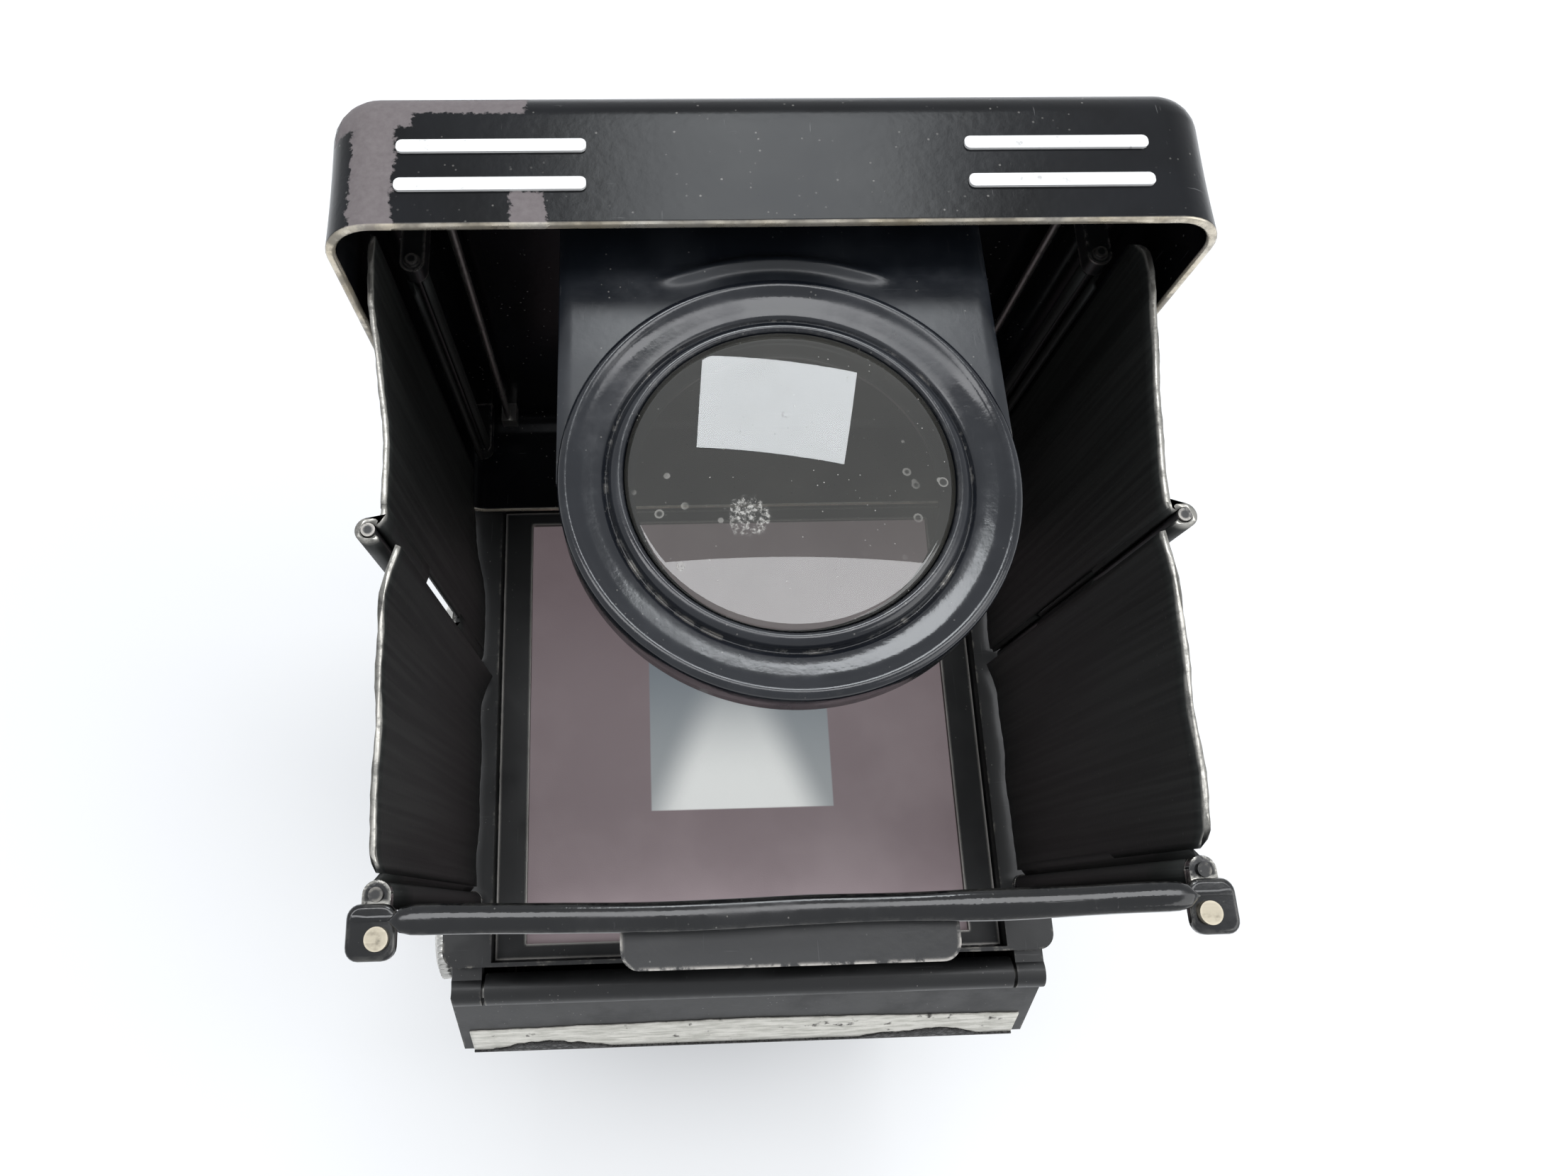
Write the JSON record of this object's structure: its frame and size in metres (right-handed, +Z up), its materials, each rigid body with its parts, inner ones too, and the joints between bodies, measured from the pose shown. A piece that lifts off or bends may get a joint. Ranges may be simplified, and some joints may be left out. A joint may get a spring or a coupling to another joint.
{
  "type": "twin lens reflex camera",
  "caption": "Box camera with a viewing lens above a taking lens, open folding waist-level hood with swing-down magnifier, focusing panel, winding crank and hinged back.",
  "frame": {"origin": "mouth of the tripod socket in the base", "axes": "+Z up, out of the top of the hood; -Y the way the lenses look; +X to the viewer's left"},
  "size_m": [0.104, 0.1, 0.1778],
  "materials": {
    "body_shell": "satin black paint",
    "tripod_bush": "plain turned steel",
    "feet": "black paint",
    "strap_lugs": "nickel plate",
    "leather_left": "grained black leatherette",
    "leather_right": "grained black leatherette",
    "film_chamber": "matt black",
    "reflex_mirror": "front-silvered, a little hazed",
    "mirror_bracket": "matt black",
    "deck_frame": "matt black paint",
    "focusing_screen": "fine ground",
    "screen_frame": "matt black",
    "door_hinge_pin": "steel wire",
    "hood_lid": "gloss black enamel, chipped and brassed at the edges",
    "lid_trim_bars": "white enamel inlay",
    "lid_hinge_pin": "steel wire",
    "lid_spring_wires": "spotted with rust",
    "front_hinge_brackets": "matt black",
    "front_hinge_pins": "steel wire",
    "magnifier_bracket": "matt black",
    "magnifier_hinge_pin": "steel wire",
    "film_roller_lower": "turned",
    "film_roller_upper": "turned",
    "supply_spool": "black paint",
    "take_up_spool": "black paint",
    "spool_knob_upper": "worn nickel",
    "spool_knob_lower": "worn nickel",
    "back_door": "black paint, worn edges",
    "leather_back": "grained black leatherette, torn along the top",
    "pressure_plate": "smooth dark plate",
    "door_latch": "nickel plate",
    "left_front_leaf": "matt black, bright worn edges",
    "left_mid_pin": "steel wire",
    "left_rear_leaf": "matt black, bright worn edges",
    "right_front_leaf": "matt black, bright worn edges",
    "right_mid_pin": "steel wire",
    "right_rear_leaf": "matt black, bright worn edges",
    "rear_panel": "black enamel, worn lip",
    "rear_hinge_pins": "steel wire",
    "corner_rivets": "dull brass",
    "rear_tab": "satin black",
    "magnifier_plate": "blue-black satin",
    "magnifier_ring": "semi-gloss black, worn edge",
    "magnifier_lens": "polished, dusty",
    "lens_standard": "satin black",
    "viewing_barrel": "nickel ring, black inside",
    "viewing_glass": "polished",
    "shutter_housing": "black with bright rim",
    "taking_barrel": "nickel ring, black inside",
    "taking_glass": "polished",
    "iris_blades": "blued steel",
    "sync_socket": "nickel plate",
    "front_screws": "nickel plate",
    "aperture_ring": "satin nickel",
    "speed_ring": "satin nickel",
    "cocking_lever": "satin nickel",
    "shutter_release": "nickel plate",
    "focus_knob": "knurled nickel",
    "winding_crank": "nickel plate",
    "crank_handle": "black grip"
  },
  "bodies": {
    "camera_body": {"body_shell": "body_shell", "tripod_bush": "tripod_bush", "feet": "feet", "strap_lugs": "strap_lugs", "leather_left": "leather_left", "leather_right": "leather_right", "film_chamber": "film_chamber", "reflex_mirror": "reflex_mirror", "mirror_bracket": "mirror_bracket", "deck_frame": "deck_frame", "focusing_screen": "focusing_screen", "screen_frame": "screen_frame", "door_hinge_pin": "door_hinge_pin", "hood_lid": "hood_lid", "lid_trim_bars": "lid_trim_bars", "lid_hinge_pin": "lid_hinge_pin", "lid_spring_wires": "lid_spring_wires", "front_hinge_brackets": "front_hinge_brackets", "front_hinge_pins": "front_hinge_pins", "magnifier_bracket": "magnifier_bracket", "magnifier_hinge_pin": "magnifier_hinge_pin"},
    "lower_roller": {"film_roller_lower": "film_roller_lower"},
    "upper_roller": {"film_roller_upper": "film_roller_upper"},
    "supply_reel": {"supply_spool": "supply_spool"},
    "take_up_reel": {"take_up_spool": "take_up_spool"},
    "upper_knob": {"spool_knob_upper": "spool_knob_upper"},
    "lower_knob": {"spool_knob_lower": "spool_knob_lower"},
    "back": {"back_door": "back_door", "leather_back": "leather_back", "pressure_plate": "pressure_plate"},
    "latch": {"door_latch": "door_latch"},
    "left_front": {"left_front_leaf": "left_front_leaf", "left_mid_pin": "left_mid_pin"},
    "left_rear": {"left_rear_leaf": "left_rear_leaf"},
    "right_front": {"right_front_leaf": "right_front_leaf", "right_mid_pin": "right_mid_pin"},
    "right_rear": {"right_rear_leaf": "right_rear_leaf"},
    "panel": {"rear_panel": "rear_panel", "rear_hinge_pins": "rear_hinge_pins", "corner_rivets": "corner_rivets", "rear_tab": "rear_tab"},
    "magnifier": {"magnifier_plate": "magnifier_plate", "magnifier_ring": "magnifier_ring", "magnifier_lens": "magnifier_lens"},
    "standard": {"lens_standard": "lens_standard", "viewing_barrel": "viewing_barrel", "viewing_glass": "viewing_glass", "shutter_housing": "shutter_housing", "taking_barrel": "taking_barrel", "taking_glass": "taking_glass", "iris_blades": "iris_blades", "sync_socket": "sync_socket", "front_screws": "front_screws"},
    "aperture": {"aperture_ring": "aperture_ring"},
    "speed": {"speed_ring": "speed_ring"},
    "cocking": {"cocking_lever": "cocking_lever"},
    "release": {"shutter_release": "shutter_release"},
    "focus": {"focus_knob": "focus_knob"},
    "crank": {"winding_crank": "winding_crank"},
    "handle": {"crank_handle": "crank_handle"}
  },
  "joints": [
    {"name": "left_front_fold", "type": "hinge", "parent": "camera_body", "child": "left_front", "pos_m": [0.034, -0.0364, 0.14], "axis": [0, 0, 1], "range_deg": [0, 78]},
    {"name": "left_mid_fold", "type": "hinge", "parent": "left_front", "child": "left_rear", "pos_m": [0.0352, -0.00685, 0.14], "axis": [0, 0, 1], "range_deg": [-156, 0]},
    {"name": "panel_fold", "type": "hinge", "parent": "left_rear", "child": "panel", "pos_m": [0.034, 0.0227, 0.14], "axis": [0, 0, 1], "range_deg": [0, 78]},
    {"name": "right_front_fold", "type": "hinge", "parent": "camera_body", "child": "right_front", "pos_m": [-0.034, -0.0364, 0.14], "axis": [0, 0, 1], "range_deg": [-78, 0]},
    {"name": "right_mid_fold", "type": "hinge", "parent": "right_front", "child": "right_rear", "pos_m": [-0.0352, -0.00685, 0.14], "axis": [0, 0, 1], "range_deg": [0, 156]},
    {"name": "magnifier_fold", "type": "hinge", "parent": "camera_body", "child": "magnifier", "pos_m": [0, -0.0378, 0.1706], "axis": [-1, 0, 0], "range_deg": [0, 93.5], "stiffness_Nm_per_rad": 0.01, "springref_deg": -45.84},
    {"name": "standard_slide", "type": "slide", "parent": "camera_body", "child": "standard", "axis": [0, -1, 0], "range_m": [0, 0.006]},
    {"name": "focus_turn", "type": "hinge", "parent": "camera_body", "child": "focus", "pos_m": [0.04, -0.02, 0.048], "axis": [1, 0, 0], "range_deg": [0, 300]},
    {"name": "crank_turn", "type": "hinge", "parent": "camera_body", "child": "crank", "pos_m": [-0.04, 0.0265, 0.0865], "axis": [1, 0, 0], "continuous": true},
    {"name": "handle_spin", "type": "hinge", "parent": "crank", "child": "handle", "pos_m": [-0.05, 0.0005, 0.0865], "axis": [1, 0, 0], "continuous": true},
    {"name": "take_up_turn", "type": "hinge", "parent": "camera_body", "child": "take_up_reel", "pos_m": [0, 0.0265, 0.0865], "axis": [1, 0, 0], "continuous": true},
    {"name": "supply_turn", "type": "hinge", "parent": "camera_body", "child": "supply_reel", "pos_m": [0, -0.0236, 0.0164], "axis": [1, 0, 0], "continuous": true},
    {"name": "upper_roller_turn", "type": "hinge", "parent": "camera_body", "child": "upper_roller", "pos_m": [0, 0.0215, 0.072], "axis": [1, 0, 0], "continuous": true},
    {"name": "lower_roller_turn", "type": "hinge", "parent": "camera_body", "child": "lower_roller", "pos_m": [0, 0.0215, 0.0076], "axis": [1, 0, 0], "continuous": true},
    {"name": "upper_knob_pull", "type": "slide", "parent": "camera_body", "child": "upper_knob", "axis": [1, 0, 0], "range_m": [0, 0.006], "stiffness_N_per_m": 200},
    {"name": "lower_knob_pull", "type": "slide", "parent": "camera_body", "child": "lower_knob", "axis": [1, 0, 0], "range_m": [0, 0.006], "stiffness_N_per_m": 200},
    {"name": "back_swing", "type": "hinge", "parent": "camera_body", "child": "back", "pos_m": [0, 0.0332, 0.1095], "axis": [1, 0, 0], "range_deg": [0, 100]},
    {"name": "latch_turn", "type": "hinge", "parent": "back", "child": "latch", "pos_m": [0, 0.03, 0.007], "axis": [0, 1, 0], "range_deg": [0, 90]},
    {"name": "aperture_turn", "type": "hinge", "parent": "standard", "child": "aperture", "pos_m": [0, -0.048, 0.04], "axis": [0, 1, 0], "range_deg": [-25, 25]},
    {"name": "speed_turn", "type": "hinge", "parent": "standard", "child": "speed", "pos_m": [0, -0.05, 0.04], "axis": [0, 1, 0], "range_deg": [-25, 25]},
    {"name": "cocking_turn", "type": "hinge", "parent": "standard", "child": "cocking", "pos_m": [0, -0.053, 0.04], "axis": [0, 1, 0], "range_deg": [0, 50], "stiffness_Nm_per_rad": 0.01, "springref_deg": -17.19},
    {"name": "release_press", "type": "slide", "parent": "standard", "child": "release", "axis": [0, 1, 0], "range_m": [0, 0.002], "stiffness_N_per_m": 150}
  ],
  "couplings": [
    {"joint": "left_mid_fold", "follows": "left_front_fold", "ratio": -2},
    {"joint": "panel_fold", "follows": "left_front_fold", "ratio": 1},
    {"joint": "right_front_fold", "follows": "left_front_fold", "ratio": -1},
    {"joint": "right_mid_fold", "follows": "left_front_fold", "ratio": 2},
    {"joint": "focus_turn", "follows": "standard_slide", "rad_per_m": 872.66},
    {"joint": "take_up_turn", "follows": "crank_turn", "ratio": 1},
    {"joint": "supply_turn", "follows": "crank_turn", "ratio": 1},
    {"joint": "upper_roller_turn", "follows": "crank_turn", "ratio": 4},
    {"joint": "lower_roller_turn", "follows": "crank_turn", "ratio": 4}
  ]
}
